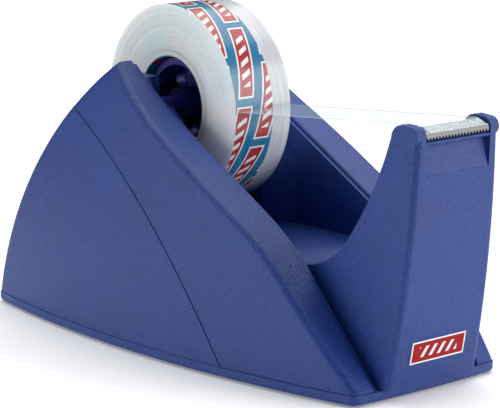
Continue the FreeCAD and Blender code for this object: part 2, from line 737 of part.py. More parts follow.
def centre_body():
    """The roll well, its two side walls, the bearing blocks and the tower, moulded in one."""
    top = size("plate_top")
    x = size("roll_axis_x")
    z = size("roll_axis_z")
    outer_y = size("sail_inner_y") - size("well_gap")
    inner_y = size("well_half_width")
    radius = size("well_radius")
    thick = size("floor_wall")
    front = size("well_front_x")
    rear_skirt = x - radius + size("well_skirt_setback")

    walls = slab(sail_outline(size("well_rim_drop"), top), -outer_y, outer_y)
    room = on_y_axis(radius + thick, -outer_y, outer_y, x, z)
    room = room.fuse(block(rear_skirt, REACH, -outer_y, outer_y, top, REACH))
    walls = walls.common(room)
    walls = walls.cut(block(-REACH, REACH, -inner_y, inner_y, -1, REACH))

    ring = on_y_axis(radius + thick, -inner_y, inner_y, x, z)
    ring = ring.cut(on_y_axis(radius, -inner_y, inner_y, x, z))
    ring = ring.common(block(x - radius - thick, x, -inner_y, inner_y, 0, z))
    ring = ring.common(slab(sail_outline(size("well_rim_drop"), top), -inner_y, inner_y))
    floor = block(x, front + size("wall"), -inner_y, inner_y, z - radius - thick, z - radius)

    solid = walls.fuse([ring, floor, tower(), bearing_block(1), bearing_block(-1)])
    for boss_x, boss_y in CENTRE_SCREWS:
        boss_top = z - radius - thick / 2 if boss_x < front else size("tower_boss_top")
        solid = solid.fuse(screw_boss(boss_x, boss_y, boss_top))
    half_rib = size("tower_rib_half")
    rib = block(CENTRE_SCREWS[1][0], size("tower_rib_front_x"), -half_rib, half_rib,
                top + size("waist_height"), size("tower_boss_top"))
    rib = rib.common(tower_hollow(size("wall") / 2))
    solid = solid.fuse(rib)
    for boss_x, boss_y in CENTRE_SCREWS:
        solid = solid.cut(pilot_hole(boss_x, boss_y))
    add_moulding("centre_body", solid.removeSplitter())


def front_label():
    """A thin label that follows the curve of the tower's front."""
    low = size("label_bottom")
    high = size("label_top")
    half = size("label_half_width")
    x = size("tower_front_centre_x")
    z = size("tower_front_centre_z")
    radius = size("tower_front_radius")
    sheet_solid = on_y_axis(radius + size("label_thickness"), -half, half, x, z)
    sheet_solid = sheet_solid.cut(on_y_axis(radius, -half, half, x, z))
    add_moulding("front_label", sheet_solid.common(block(0, REACH, -half, half, low, high)))


# ---------------------------------------------------------------- base


def screw_places():
    """Every screw that comes up through the plate."""
    places = list(CENTRE_SCREWS)
    for x, y in SIDE_SCREWS + HOOD_SCREWS:
        places += [(x, y), (x, -y)]
    return places


def base_plate():
    body = new_body("base_plate")
    sketch = new_sketch(body, "plate_outline", "XY_Plane")
    front_corner_x = "sizes.plate_front_x - sizes.plate_front_bow"
    rear_y = "sizes.half_width - " + plan_drop("sizes.plate_rear_x")
    front_y = "sizes.half_width - " + plan_drop(front_corner_x)
    outline(sketch, [
        (front_corner_x, f"{front_y}", "sizes.plate_front_x", "0"),
        ("sizes.plate_rear_x", f"{rear_y}", "sizes.plan_centre_x", "sizes.half_width"),
        ("sizes.plate_rear_x", f"-({rear_y})"),
        (front_corner_x, f"-({front_y})", "sizes.plan_centre_x", "-sizes.half_width"),
    ])
    plate = pad(body, sketch, "sizes.plate_top - sizes.pad_thickness")
    bind(sketch, "AttachmentOffset.Base.z", "sizes.pad_thickness")
    doc.recompute()
    corners = dress(body, "Fillet", plate, edges_where(plate.Shape, is_upright), "sizes.plate_corner")
    doc.recompute()
    low = size("pad_thickness")
    rim_names = edges_where(corners.Shape, lambda e: lies_at(e, low))
    rim = dress(body, "Fillet", corners, rim_names, "sizes.plate_edge")
    doc.recompute()
    holes = new_sketch(body, "screw_holes", "XY_Plane")
    for x, y in screw_places() + BALLAST_SCREWS:
        circle(holes, (str(x), str(y)), "sizes.screw_radius + sizes.boss_clearance")
    through = pocket_through(body, holes)
    doc.recompute()
    hole_edges = edges_where(
        through.Shape, lambda e: lies_at(e, low) and is_small_circle(e)
    )
    dress(body, "Chamfer", through, hole_edges, "sizes.screw_head_radius - sizes.screw_radius + 0.2")
    return body


def plan_drop(x):
    """Formula for how far the flank has curved in at x."""
    return f"(sizes.plan_radius - sqrt(sizes.plan_radius ^ 2 - ({x} - sizes.plan_centre_x) ^ 2))"


def is_small_circle(edge):
    return edge.BoundBox.XLength < 5 and len(edge.Vertexes) == 1


def non_slip_pads():
    for end in ("front", "rear"):
        for name, sign in (("left", "-"), ("right", "")):
            pad_solid = doc.addObject("Part::Cylinder", f"pad_{end}_{name}")
            pad_solid.Label = f"pad_{end}_{name}"
            bind(pad_solid, "Radius", "sizes.pad_radius")
            bind(pad_solid, "Height", "sizes.pad_thickness")
            bind(pad_solid, "Placement.Base.x", f"sizes.pad_{end}_x")
            bind(pad_solid, "Placement.Base.y", f"{sign}sizes.pad_{end}_y")
            parts.append(pad_solid)


def screw(x, y):
    """A countersunk self-tapping screw, head down, with a cross recess."""
    low = size("pad_thickness") + size("screw_sink")
    head = size("screw_head_radius")
    shank = size("screw_radius")
    head_height = head - shank
    solid = Part.makeCone(head, shank, head_height, V(x, y, low))
    solid = solid.fuse(Part.makeCylinder(shank, size("screw_length"), V(x, y, low + head_height)))
    tip = low + head_height + size("screw_length")
    point = Part.makeCone(shank, size("screw_tip_radius"), size("screw_tip_length"), V(x, y, tip))
    solid = solid.fuse(point)
    arm = size("cross_arm")
    slot = size("cross_half_width")
    roof = low + size("cross_depth")
    for along_x, along_y in ((arm, slot), (slot, arm)):
        recess = block(x - along_x, x + along_x, y - along_y, y + along_y, low - 1, roof)
        solid = solid.cut(recess)
    return solid


def screws(label, places):
    add_moulding(label, Part.makeCompound([screw(x, y) for x, y in places]))


def ballast_block():
    body = new_body("ballast_block")
    sketch = new_sketch(body, "ballast_outline", "XY_Plane")
    outline(sketch, [
        ("sizes.ballast_front_x", "sizes.ballast_half_width"),
        ("sizes.ballast_rear_x", "sizes.ballast_half_width"),
        ("sizes.ballast_rear_x", "-sizes.ballast_half_width"),
        ("sizes.ballast_front_x", "-sizes.ballast_half_width"),
    ])
    bind(sketch, "AttachmentOffset.Base.z", "sizes.plate_top")
    cast = pad(body, sketch, "sizes.ballast_top - sizes.plate_top")
    doc.recompute()
    corners = dress(body, "Fillet", cast, edges_where(cast.Shape, is_upright), "sizes.ballast_corner")
    doc.recompute()
    holes = new_sketch(body, "ballast_holes", "XY_Plane")
    for x, y in BALLAST_SCREWS:
        circle(holes, (str(x), str(y)), "sizes.screw_radius + sizes.boss_clearance")
    pocket_through(body, holes)


# ---------------------------------------------------------------- cutter


def blade_holder():
    """The ledge between the cheeks that the blade lies on, with a lip below the teeth."""
    body = new_body("blade_holder")
    sketch = new_sketch(body, "holder_section", "XZ_Plane")
    bend_x = "sizes.blade_x - sizes.blade_lean"
    bed = "sizes.blade_z + sizes.blade_bed"
    outline(sketch, [
        ("sizes.holder_rear_x", "sizes.holder_seat"),
        ("sizes.holder_front_x - sizes.lip_chamfer", "sizes.holder_seat"),
        ("sizes.holder_front_x", "sizes.holder_seat + sizes.lip_chamfer"),
        ("sizes.holder_front_x", "sizes.holder_seat + sizes.lip_height"),
        ("sizes.blade_x - sizes.lip_length", "sizes.holder_seat + sizes.lip_height + sizes.lip_slope"),
        (f"{bend_x} - sizes.blade_gap", bed),
        (f"{bend_x} - sizes.blade_flat - sizes.blade_gap", f"{bed} + sizes.blade_rise"),
        ("sizes.holder_rear_x + sizes.holder_top_length", f"{bed} + sizes.blade_rise"),
        ("sizes.holder_rear_x", "sizes.blade_z - sizes.holder_rear_drop"),
    ])
    holder = pad(body, sketch, "sizes.holder_half_width * 2", midplane=True)
    doc.recompute()
    rear_edges = edges_where(holder.Shape, is_holder_rear_edge)
    dress(body, "Fillet", holder, rear_edges, "sizes.holder_edge")


def is_holder_rear_edge(edge):
    box = edge.BoundBox
    is_across = box.YLength > size("holder_half_width")
    is_rear = box.XMax < size("holder_rear_x") + size("holder_top_length") + 0.1
    return is_across and is_rear and box.ZMin > size("holder_seat") + 1


def cutter_blade():
    """A strip bent over the holder's front edge, with a row of teeth along its lower rim."""
    body = new_body("cutter_blade")
    sketch = new_sketch(body, "blade_section", "XZ_Plane")
    bend_x = "sizes.blade_x - sizes.blade_lean"
    bottom = "sizes.blade_z - sizes.blade_drop"
    rear_z = "sizes.blade_z + sizes.blade_rise"
    # Measured square to each part of the bent strip, its thickness comes to these shares along X and Z.
    front_x = "1.03 * sizes.blade_thickness"
    top_z = "1.05 * sizes.blade_thickness"
    outline(sketch, [
        (f"{bend_x} - sizes.blade_flat", rear_z),
        (bend_x, "sizes.blade_z"),
        ("sizes.blade_x", bottom),
        (f"sizes.blade_x + {front_x}", bottom),
        (f"{bend_x} + 0.83 * sizes.blade_thickness", "sizes.blade_z + 0.77 * sizes.blade_thickness"),
        (f"{bend_x} - sizes.blade_flat", f"{rear_z} + {top_z}"),
    ])
    strip = pad(body, sketch, "sizes.blade_half_width * 2", midplane=True)
    doc.recompute()
    bend = edges_where(strip.Shape, is_blade_bend)
    strip = dress(body, "Fillet", strip, bend, "sizes.blade_bend")
    doc.recompute()
    gap = new_sketch(body, "tooth_gap", "YZ_Plane")
    first = "-sizes.blade_half_width"
    outline(gap, [
        (f"{first} - sizes.tooth_pitch / 2", f"{bottom} - 0.05"),
        (f"{first} + sizes.tooth_pitch / 2", f"{bottom} - 0.05"),
        (first, f"{bottom} + sizes.tooth_depth"),
    ])
    cut = pocket_through(body, gap)
    teeth = body.newObject("PartDesign::LinearPattern", "teeth")
    teeth.Originals = [cut]
    teeth.Direction = (gap, ["H_Axis"])
    bind(teeth, "Length", "sizes.blade_half_width * 2")
    teeth.Occurrences = int(round(2 * size("blade_half_width") / size("tooth_pitch"))) + 1
    body.Tip = teeth
    doc.recompute()
    if teeth.Shape.Volume >= strip.Shape.Volume:
        raise RuntimeError("the teeth are not cut")


def is_blade_bend(edge):
    """The outer edge of the bend, which lies just above the inner one."""
    box = edge.BoundBox
    is_across = box.YLength > size("blade_half_width")
    above = box.ZMin - size("blade_z")
    return is_across and 0.1 < above < size("blade_rise") / 2


# ---------------------------------------------------------------- roll


def tube(label, inner, outer, half_width):
    """A plain ring about the roll axis."""
    body = new_body(label)
    sketch = new_sketch(body, f"{label}_ring", "XZ_Plane")
    centre = ("sizes.roll_axis_x", "sizes.roll_axis_z")
    circle(sketch, centre, outer)
    circle(sketch, centre, inner)
    pad(body, sketch, f"({half_width}) * 2", midplane=True)


def hub_half(label, side):
    """Half of the hub: rim, grip ribs, web with windows and rivet holes, boss and stub axle."""
    body = new_body(label)
    centre = ("sizes.roll_axis_x", "sizes.roll_axis_z")
    outward = side < 0
    half = "sizes.tape_width / 2 - sizes.hub_inset"
    rim = new_sketch(body, f"{label}_rim", "XZ_Plane")
    circle(rim, centre, "sizes.hub_rim_radius")
    circle(rim, centre, "sizes.hub_rim_inner")
    pad(body, rim, half, reverse=not outward)
    rounds = [
        ("web", "(sizes.hub_rim_inner + sizes.hub_rim_radius) / 2", "sizes.hub_web"),
        ("boss", "sizes.hub_boss_radius", half),
        ("stub", "sizes.stub_radius", "sizes.stub_end_y"),
    ]
    for name, radius, length in rounds:
        sketch = new_sketch(body, f"{label}_{name}", "XZ_Plane")
        circle(sketch, centre, radius)
        pad(body, sketch, length, reverse=not outward)
    doc.recompute()
    rib = new_sketch(body, f"{label}_rib", "XZ_Plane")
    rib_foot = "sizes.roll_axis_z + (sizes.hub_rim_inner + sizes.hub_rim_radius) / 2"
    rib_tip = "sizes.roll_axis_z + sizes.hub_rib_radius"
    outline(rib, [
        ("sizes.roll_axis_x + sizes.hub_rib_half", rib_foot),
        ("sizes.roll_axis_x + sizes.hub_rib_half", rib_tip),
        ("sizes.roll_axis_x - sizes.hub_rib_half", rib_tip),
        ("sizes.roll_axis_x - sizes.hub_rib_half", rib_foot),
    ])
    first_rib = pad(body, rib, half, reverse=not outward)
    doc.recompute()
    ring_of(body, label, "ribs", [first_rib], RIBS)
    window = new_sketch(body, f"{label}_window", "XZ_Plane")
    window_z = "sizes.roll_axis_z + sizes.hub_ring_radius"
    circle(window, ("sizes.roll_axis_x", window_z), "sizes.hub_window_radius")
    ring_of(body, label, "windows", [pocket_through(body, window)], WINDOWS)
    hole = new_sketch(body, f"{label}_rivet_hole", "XZ_Plane")
    x, z = rivet_place(0)
    circle(hole, (str(x), str(z)), "sizes.rivet_radius + sizes.rivet_clearance")
    ring_of(body, label, "rivet_holes", [pocket_through(body, hole)], RIVETS)


def rivet_place(index):
    """Rivets sit between the windows of the web."""
    turn = radians(180 / WINDOWS + 360 / RIVETS * index)
    reach = size("hub_ring_radius")
    return size("roll_axis_x") + reach * sin(turn), size("roll_axis_z") + reach * cos(turn)


def hub_rivets():
    """The rivets that clamp the two halves of the hub together."""
    solids = []
    web = size("hub_web")
    head = web + size("rivet_head_height")
    for index in range(RIVETS):
        x, z = rivet_place(index)
        shank = on_y_axis(size("rivet_radius"), -head, head, x, z)
        heads = [on_y_axis(size("rivet_head_radius"), *span, x, z) for span in ((-head, -web), (web, head))]
        solids.append(shank.fuse(heads).removeSplitter())
    add_moulding("hub_rivets", Part.makeCompound(solids))


def ring_of(body, label, name, features, count):
    """Repeats features evenly round the hub's axis."""
    axis = new_sketch(body, f"{label}_{name}_axis", "XZ_Plane")
    bind(axis, "AttachmentOffset.Base.x", "sizes.roll_axis_x")
    bind(axis, "AttachmentOffset.Base.y", "sizes.roll_axis_z")
    doc.recompute()
    pattern = body.newObject("PartDesign::PolarPattern", f"{label}_{name}")
    pattern.Originals = features
    pattern.Axis = (axis, ["N_Axis"])
    pattern.Angle = 360
    pattern.Occurrences = count
    body.Tip = pattern
    doc.recompute()


def tape_tail():
    """The free end, from the front of the roll to just over the teeth."""
    rise = size("tail_clearance")
    bend_x = size("blade_x") - size("blade_lean")
    over_blade = size("blade_z") + size("blade_thickness") + rise
    rear_x = bend_x - size("blade_flat")
    start = (size("roll_axis_x") + size("roll_radius") + rise, size("tail_start_z"))
    lower = [
        start,
        (rear_x, over_blade + size("blade_rise")),
        (bend_x, over_blade),
        (size("blade_x") + size("blade_thickness") / 2, over_blade - 0.5),
    ]
    upper = [(x, z + size("tail_thickness")) for x, z in reversed(lower)]
    half = size("tape_width") / 2
    add_moulding("tape_tail", slab(polygon(lower + upper), -half, half))


# ---------------------------------------------------------------- assembly


def check_and_write():
    doc.recompute()
    for thing in doc.Objects:
        if "Invalid" in thing.State or "Error" in thing.State:
            raise RuntimeError(f"{thing.Label} failed: {thing.State}")
    for part in parts:
        shape = part.Shape
        if shape.isNull() or not shape.isValid() or not shape.Solids:
            raise RuntimeError(f"{part.Label} has no valid solid")
    os.makedirs("parts", exist_ok=True)
    for part in parts:
        part.Shape.exportStep(f"parts/{part.Label}.step")
        print(part.Label, round(part.Shape.Volume, 1), len(part.Shape.Solids))


fill_sheet()
base_plate()
non_slip_pads()
centre_body()
side_shell("left_side_shell", -1)
side_shell("right_side_shell", 1)
rear_hood()
ballast_block()
screws("base_screws", screw_places())
screws("ballast_screws", BALLAST_SCREWS)
blade_holder()
cutter_blade()
front_label()
hub_half("hub_left_half", -1)
hub_half("hub_right_half", 1)
hub_rivets()
tube("tape_core", "sizes.core_bore", "sizes.core_bore + sizes.core_wall", "sizes.tape_width / 2")
tube(
    "tape_winding",
    "sizes.core_bore + sizes.core_wall + 0.05",
    "sizes.roll_radius",
    "sizes.tape_width / 2",
)
tape_tail()
check_and_write()
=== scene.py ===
import math
import random

import bpy
from mathutils import Matrix, Vector


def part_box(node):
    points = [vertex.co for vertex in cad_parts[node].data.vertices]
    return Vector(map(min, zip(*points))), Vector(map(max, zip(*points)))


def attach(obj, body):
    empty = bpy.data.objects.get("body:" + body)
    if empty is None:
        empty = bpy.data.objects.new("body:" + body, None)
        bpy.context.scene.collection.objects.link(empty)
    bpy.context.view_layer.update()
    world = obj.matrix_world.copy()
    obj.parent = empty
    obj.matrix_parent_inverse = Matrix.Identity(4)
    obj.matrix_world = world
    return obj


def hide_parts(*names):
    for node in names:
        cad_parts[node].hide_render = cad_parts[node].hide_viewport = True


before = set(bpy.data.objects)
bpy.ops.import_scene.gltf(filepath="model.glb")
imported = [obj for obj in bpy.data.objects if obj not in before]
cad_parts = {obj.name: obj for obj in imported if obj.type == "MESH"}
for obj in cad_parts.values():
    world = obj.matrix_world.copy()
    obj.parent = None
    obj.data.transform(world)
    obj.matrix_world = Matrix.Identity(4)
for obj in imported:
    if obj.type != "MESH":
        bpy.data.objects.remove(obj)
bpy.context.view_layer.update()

# Looks for a desk tape dispenser: moulded blue plastic, a roll of clear tape, a toothed steel blade.
# Metres, in the CAD frame: +X towards the cutter, +Z up, origin on the table.

MM = 0.001


# ---------------------------------------------------------------- building a material


class Surface:
    """A material as it is built: its nodes, a point's own place, and the shader for its finish."""

    def __init__(self, name):
        self.material = bpy.data.materials.new(name)
        self.material.use_nodes = True
        self.nodes = self.material.node_tree.nodes
        self.shader = self.nodes["Principled BSDF"]
        self.place = self.nodes.new("ShaderNodeTexCoord").outputs["Object"]
        split = self.nodes.new("ShaderNodeSeparateXYZ")
        self.feed(split.inputs[0], self.place)
        self.x, self.y, self.z = split.outputs

    def feed(self, socket, value):
        """Links a socket to another one, or sets it to a number or a colour."""
        if isinstance(value, bpy.types.NodeSocket):
            self.material.node_tree.links.new(value, socket)
        elif socket.type == "RGBA":
            socket.default_value = (*value, 1.0)
        else:
            socket.default_value = value

    def finish(self, **values):
        """Feeds the shader's sockets, each named with _ for a space, and returns the material."""
        for name, value in values.items():
            self.feed(self.shader.inputs[name.replace("_", " ")], value)
        return self.material

    def maths(self, operation, *values):
        """One step of arithmetic on sockets or numbers."""
        node = self.nodes.new("ShaderNodeMath")
        node.operation = operation
        for socket, value in zip(node.inputs, values):
            self.feed(socket, value)
        return node.outputs[0]

    def vector(self, *values):
        """A vector from sockets or numbers; those not given are 0."""
        node = self.nodes.new("ShaderNodeCombineXYZ")
        for socket, value in zip(node.inputs, values):
            self.feed(socket, value)
        return node.outputs[0]

    def noise(self, vector, scale, detail=3.0, stretch=(1, 1, 1)):
        """Soft noise from 0 to 1, finer along an axis where its stretch is larger."""
        mapping = self.nodes.new("ShaderNodeMapping")
        self.feed(mapping.inputs["Vector"], vector)
        self.feed(mapping.inputs["Scale"], stretch)
        texture = self.nodes.new("ShaderNodeTexNoise")
        self.feed(texture.inputs["Vector"], mapping.outputs["Vector"])
        self.feed(texture.inputs["Scale"], scale)
        self.feed(texture.inputs["Detail"], detail)
        return texture.outputs["Fac"]

    def ramp(self, value, low, high, start=0.0, end=1.0):
        """Runs from low to high while the value runs from start to end, and is level beyond them."""
        node = self.nodes.new("ShaderNodeMapRange")
        self.feed(node.inputs["Value"], value)
        self.feed(node.inputs["From Min"], start)
        self.feed(node.inputs["From Max"], end)
        self.feed(node.inputs["To Min"], low)
        self.feed(node.inputs["To Max"], high)
        return node.outputs["Result"]

    def mix(self, factor, first, second):
        """The first colour where the factor is 0, the second where it is 1."""
        node = self.nodes.new("ShaderNodeMix")
        node.data_type = "RGBA"
        factor_socket, first_socket, second_socket = node.inputs[0], node.inputs[6], node.inputs[7]
        self.feed(factor_socket, factor)
        self.feed(first_socket, first)
        self.feed(second_socket, second)
        return node.outputs[2]

    def share(self, part, first, second):
        """That part of the first value, and the rest from the second."""
        return self.maths("ADD", self.maths("MULTIPLY", first, part),
                          self.maths("MULTIPLY", second, 1 - part))

    def millimetres(self, coordinate, origin=0.0):
        """How far a coordinate in metres lies past an origin, in millimetres."""
        return self.maths("DIVIDE", self.maths("SUBTRACT", coordinate, origin), MM)

    def within(self, aside, half_width, along, half_length):
        """1 inside a rectangle and 0 outside it, from the distances to its two middle lines."""
        return self.maths("MULTIPLY", self.maths("LESS_THAN", aside, half_width),
                          self.maths("LESS_THAN", along, half_length))

    def bars(self, along, across, slope, pitch, width):
        """1 on the bars of a slanting row and 0 between them."""
        slant = self.maths("ADD", along, self.maths("MULTIPLY", across, slope))
        return self.maths("LESS_THAN", self.maths("MODULO", slant, pitch), width)

    def bump(self, height, strength, depth):
        """Shades the surface as if its bright parts stood out from it."""
        node = self.nodes.new("ShaderNodeBump")
        self.feed(node.inputs["Strength"], strength)
        self.feed(node.inputs["Distance"], depth)
        self.feed(node.inputs["Height"], height)
        self.feed(self.shader.inputs["Normal"], node.outputs["Normal"])


# ---------------------------------------------------------------- plastic, metal and rubber


BODY_DARK = (0.002, 0.017, 0.11)
BODY_LIGHT = (0.010, 0.058, 0.33)
HUB_DARK = (0.010, 0.007, 0.14)
HUB_LIGHT = (0.016, 0.014, 0.22)
ZINC = (0.62, 0.62, 0.6)
BLACKENED = (0.05, 0.05, 0.08)
CAST_IRON = (0.16, 0.16, 0.17)
RUBBER_DARK = (0.02, 0.02, 0.022)
RUBBER_LIGHT = (0.05, 0.05, 0.052)
STEEL_LIT_TOP_DARK = (0.20, 0.20, 0.20)
STEEL_LIT_TOP_LIGHT = (0.58, 0.58, 0.57)
STEEL_SHADED_FRONT_DARK = (0.03, 0.03, 0.03)
STEEL_SHADED_FRONT_LIGHT = (0.12, 0.12, 0.12)
BLADE_BEND = 0.6  # part of the blade's height at which its painted lit upper face begins, above the painted shade below
CLOUD_SHARE = 0.4  # of the plastic's tone; fine specks give the rest
GRAIN_SHADE = 0.7  # how dark a metal's grain is beside its colour


def moulded_plastic(name, dark, light, roughness):
    """Spark-eroded plastic: a fine pebbled grain, cloudy gloss and slightly uneven colour."""
    surface = Surface(name)
    cloud = surface.noise(surface.place, scale=60.0)
    speck = surface.noise(surface.place, scale=2600.0, detail=1.0)
    grain = surface.noise(surface.place, scale=2900.0, detail=1.0)
    specks = surface.ramp(speck, low=0.0, high=1.0, start=0.3, end=0.7)
    tone = surface.share(CLOUD_SHARE, cloud, specks)
    surface.bump(grain, strength=1.0, depth=0.2 * MM)
    return surface.finish(
        Base_Color=surface.mix(tone, dark, light),
        Roughness=surface.ramp(cloud, low=roughness - 0.04, high=roughness + 0.05),
        IOR=1.45,
    )


def blade_steel():
    """Rolled steel with draw lines along it, its upper face painted light as if lit from above and the
    face below the bend painted dark as shade.
    """
    surface = Surface("blade_steel")
    low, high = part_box("cutter_blade")
    bend = low.z + BLADE_BEND * (high.z - low.z)
    lines = surface.noise(surface.place, scale=170.0, stretch=(8, 0.03, 8))
    # Lit and shaded copies of one steel: painted light above the bend, painted shade below it.
    lit_top = surface.mix(lines, STEEL_LIT_TOP_DARK, STEEL_LIT_TOP_LIGHT)
    shaded_front = surface.mix(lines, STEEL_SHADED_FRONT_DARK, STEEL_SHADED_FRONT_LIGHT)
    is_lit_top = surface.maths("GREATER_THAN", surface.z, bend)
    surface.bump(lines, strength=0.15, depth=0.02 * MM)
    return surface.finish(
        Base_Color=surface.mix(is_lit_top, shaded_front, lit_top),
        Roughness=surface.ramp(lines, low=0.16, high=0.34),
        Metallic=1.0,
    )


def plain_metal(name, colour, roughness, grain_scale):
    """Plated or cast metal with a fine uneven surface."""
    surface = Surface(name)
    grain = surface.noise(surface.place, grain_scale)
    darker = tuple(channel * GRAIN_SHADE for channel in colour)
    surface.bump(grain, strength=0.3, depth=0.1 * MM)
    return surface.finish(
        Base_Color=surface.mix(grain, darker, colour),
        Roughness=surface.ramp(grain, low=roughness - 0.08, high=roughness + 0.1),
        Metallic=1.0,
    )


def pad_rubber():
    """Dull black rubber."""
    surface = Surface("pad_rubber")
    grain = surface.noise(surface.place, scale=1500.0)
    surface.bump(grain, strength=0.5, depth=0.1 * MM)
    return surface.finish(Base_Color=surface.mix(grain, RUBBER_DARK, RUBBER_LIGHT), Roughness=0.85)


# ---------------------------------------------------------------- print


PRINT_RED = (0.40, 0.012, 0.015)
PRINT_TEAL = (0.004, 0.17, 0.33)
PRINT_WHITE = (0.86, 0.87, 0.88)
LABEL_DARK = (0.32, 0.004, 0.008)
LABEL_LIGHT = (0.38, 0.007, 0.010)
BAR_SLOPE = 0.6  # how far a bar leans along its row for each step across it

# The print on the tape, in degrees round the roll.
BLOCK_TOP = 53.0  # the upper end of a block in the middle row
BLOCK_STEP = 48.0  # from one block of a row to the next
BLOCK_TURN = 43.5  # what a block covers

# The print on the tape, in millimetres.
BLOCK_WIDTH = 5.3
BLOCK_BORDER = 0.5
BLOCK_BAR_PITCH = 3.4
BLOCK_BAR_WIDTH = 1.5
BLOCK_BAR_REACH = 1.35  # to either side of the block's middle line
BLOCK_BAR_END = 3.0  # from the block's ends to its bars
ROW_PITCH = 8.2
ROW_Y = -0.8  # where the middle row crosses the angle BLOCK_TOP
PRINT_EDGE = 3.3  # where the print stops, short of the tape's far edge
PRINT_RADIUS = 27.2  # at which a degree is turned into a length
DEGREE_LENGTH = math.radians(1.0) * PRINT_RADIUS

ROWS_PER_TURN = 5  # rows that the slant crosses in one turn of the roll
ROW_STAGGER = 0.5  # part of a step by which each row is ahead of the one before

# The print on the label, in millimetres.
LABEL_BORDER = 0.4
LABEL_BAR_PITCH = 2.9
LABEL_BAR_WIDTH = 1.1
LABEL_BAR_SIDE = 2.8  # from the label's sides to its bars
LABEL_BAR_TOP = 1.5  # from the label's top and bottom to its bars
LABEL_BAR_START = 40.0  # how far left of the middle the count of bars starts, outside the label


def block_place(surface, angle, y):
    """Where a point lies in the slanting rows of blocks: millimetres across its row, and along it."""
    turn = surface.maths("SUBTRACT", angle, BLOCK_TOP)
    slant = surface.maths("MULTIPLY", turn, ROW_PITCH * ROWS_PER_TURN / 360)
    past_middle = surface.maths("SUBTRACT", surface.maths("SUBTRACT", y, ROW_Y), slant)
    rows = surface.maths("DIVIDE", past_middle, ROW_PITCH)
    row = surface.maths("ROUND", rows)
    across = surface.maths("MULTIPLY", surface.maths("SUBTRACT", rows, row), ROW_PITCH)
    blocks = surface.maths("SUBTRACT", surface.maths("MULTIPLY", row, ROW_STAGGER),
                           surface.maths("DIVIDE", turn, BLOCK_STEP))
    along = surface.maths("MULTIPLY", surface.maths("FRACT", blocks), BLOCK_STEP * DEGREE_LENGTH)
    return across, along


def printed_blocks(surface, angle, y):
    """Teal with slanting rows of red blocks, each with a white border and plain white bars."""
    across, along = block_place(surface, angle, y)
    half_width = BLOCK_WIDTH / 2
    half_length = BLOCK_TURN * DEGREE_LENGTH / 2
    aside = surface.maths("ABSOLUTE", across)
    from_middle = surface.maths("ABSOLUTE", surface.maths("SUBTRACT", along, half_length))
    in_block = surface.within(aside, half_width, from_middle, half_length)
    in_red = surface.within(aside, half_width - BLOCK_BORDER, from_middle, half_length - BLOCK_BORDER)
    on_bar = surface.maths(
        "MULTIPLY",
        surface.bars(along, across, BAR_SLOPE, BLOCK_BAR_PITCH, BLOCK_BAR_WIDTH),
        surface.within(aside, BLOCK_BAR_REACH, from_middle, half_length - BLOCK_BAR_END),
    )
    colour = surface.mix(in_block, PRINT_TEAL, PRINT_WHITE)
    colour = surface.mix(in_red, colour, PRINT_RED)
    return surface.mix(on_bar, colour, PRINT_WHITE)


def label_print():
    """A red label with a white border and a row of plain slanting bars."""
    surface = Surface("label_print")
    low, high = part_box("front_label")
    middle = (low + high) / 2
    half_width = (high.y - middle.y) / MM
    half_height = (high.z - middle.z) / MM
    y = surface.millimetres(surface.y, middle.y)
    z = surface.millimetres(surface.z, middle.z)
    aside = surface.maths("ABSOLUTE", y)
    up = surface.maths("ABSOLUTE", z)
    from_start = surface.maths("ADD", y, LABEL_BAR_START)
    on_bar = surface.maths(
        "MULTIPLY",
        surface.bars(from_start, z, -BAR_SLOPE, LABEL_BAR_PITCH, LABEL_BAR_WIDTH),
        surface.within(aside, half_width - LABEL_BAR_SIDE, up, half_height - LABEL_BAR_TOP),
    )
    in_red = surface.within(aside, half_width - LABEL_BORDER, up, half_height - LABEL_BORDER)
    cloud = surface.noise(surface.place, scale=500.0)
    colour = surface.mix(in_red, PRINT_WHITE, surface.mix(cloud, LABEL_DARK, LABEL_LIGHT))
    return surface.finish(Base_Color=surface.mix(on_bar, colour, PRINT_WHITE), Roughness=0.5, IOR=1.25)


# ---------------------------------------------------------------- tape


FILM_IOR = 1.47
TURN_SCALE = 5200.0  # noise scale across the edges of single turns
RING_SHARE = 0.6  # of the side's tone; wider rings give the rest
STREAK_DRIFT = 0.012  # how far the tread's streaks change in a degree, as if in millimetres across
SIDE_DARK = (0.46, 0.50, 0.51)
SIDE_LIGHT = (0.92, 0.94, 0.93)
SIDE_PAINTED_SHEEN = (0.97, 0.96, 0.97)
SIDE_TINT = (0.52, 0.76, 0.80)
PAINTED_SHEEN_ANGLE = -25.0  # degrees round the roll where the painted sheen on its side is brightest
TREAD_DARK = (0.46, 0.48, 0.51)
TREAD_LIGHT = (0.72, 0.74, 0.77)
STRIP_DARK = (0.55, 0.72, 0.78)
STRIP_LIGHT = (0.70, 0.84, 0.88)
STRIP_GLINT_WIDTH = 0.3 * MM  # how wide the strip's painted glints along its edges are
CORE_DARK = (0.45, 0.48, 0.50)
CORE_LIGHT = (0.80, 0.82, 0.82)
CORE_LINE = (0.01, 0.012, 0.02)
CORE_FILM_DEPTH = 1.5 * MM  # from the core's outside in to the film in its bore
CORE_LINE_DEPTH = 1.3 * MM  # from the core's outside in to the dark line round its bore
CORE_STRIPE_STEP = 40.0  # degrees from one red stripe in the bore to the next
CORE_STRIPE_TURN = 9.0  # degrees that a stripe covers


def roll_place(surface):
    """Metres from the roll's axis, and degrees round it from +X towards +Z."""
    low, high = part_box("tape_winding")
    axis = (low + high) / 2
    x = surface.maths("SUBTRACT", surface.x, axis.x)
    z = surface.maths("SUBTRACT", surface.z, axis.z)
    squares = surface.maths("ADD", surface.maths("MULTIPLY", x, x), surface.maths("MULTIPLY", z, z))
    radius = surface.maths("SQRT", squares)
    angle = surface.maths("DEGREES", surface.maths("ARCTAN2", z, x))
    return radius, angle


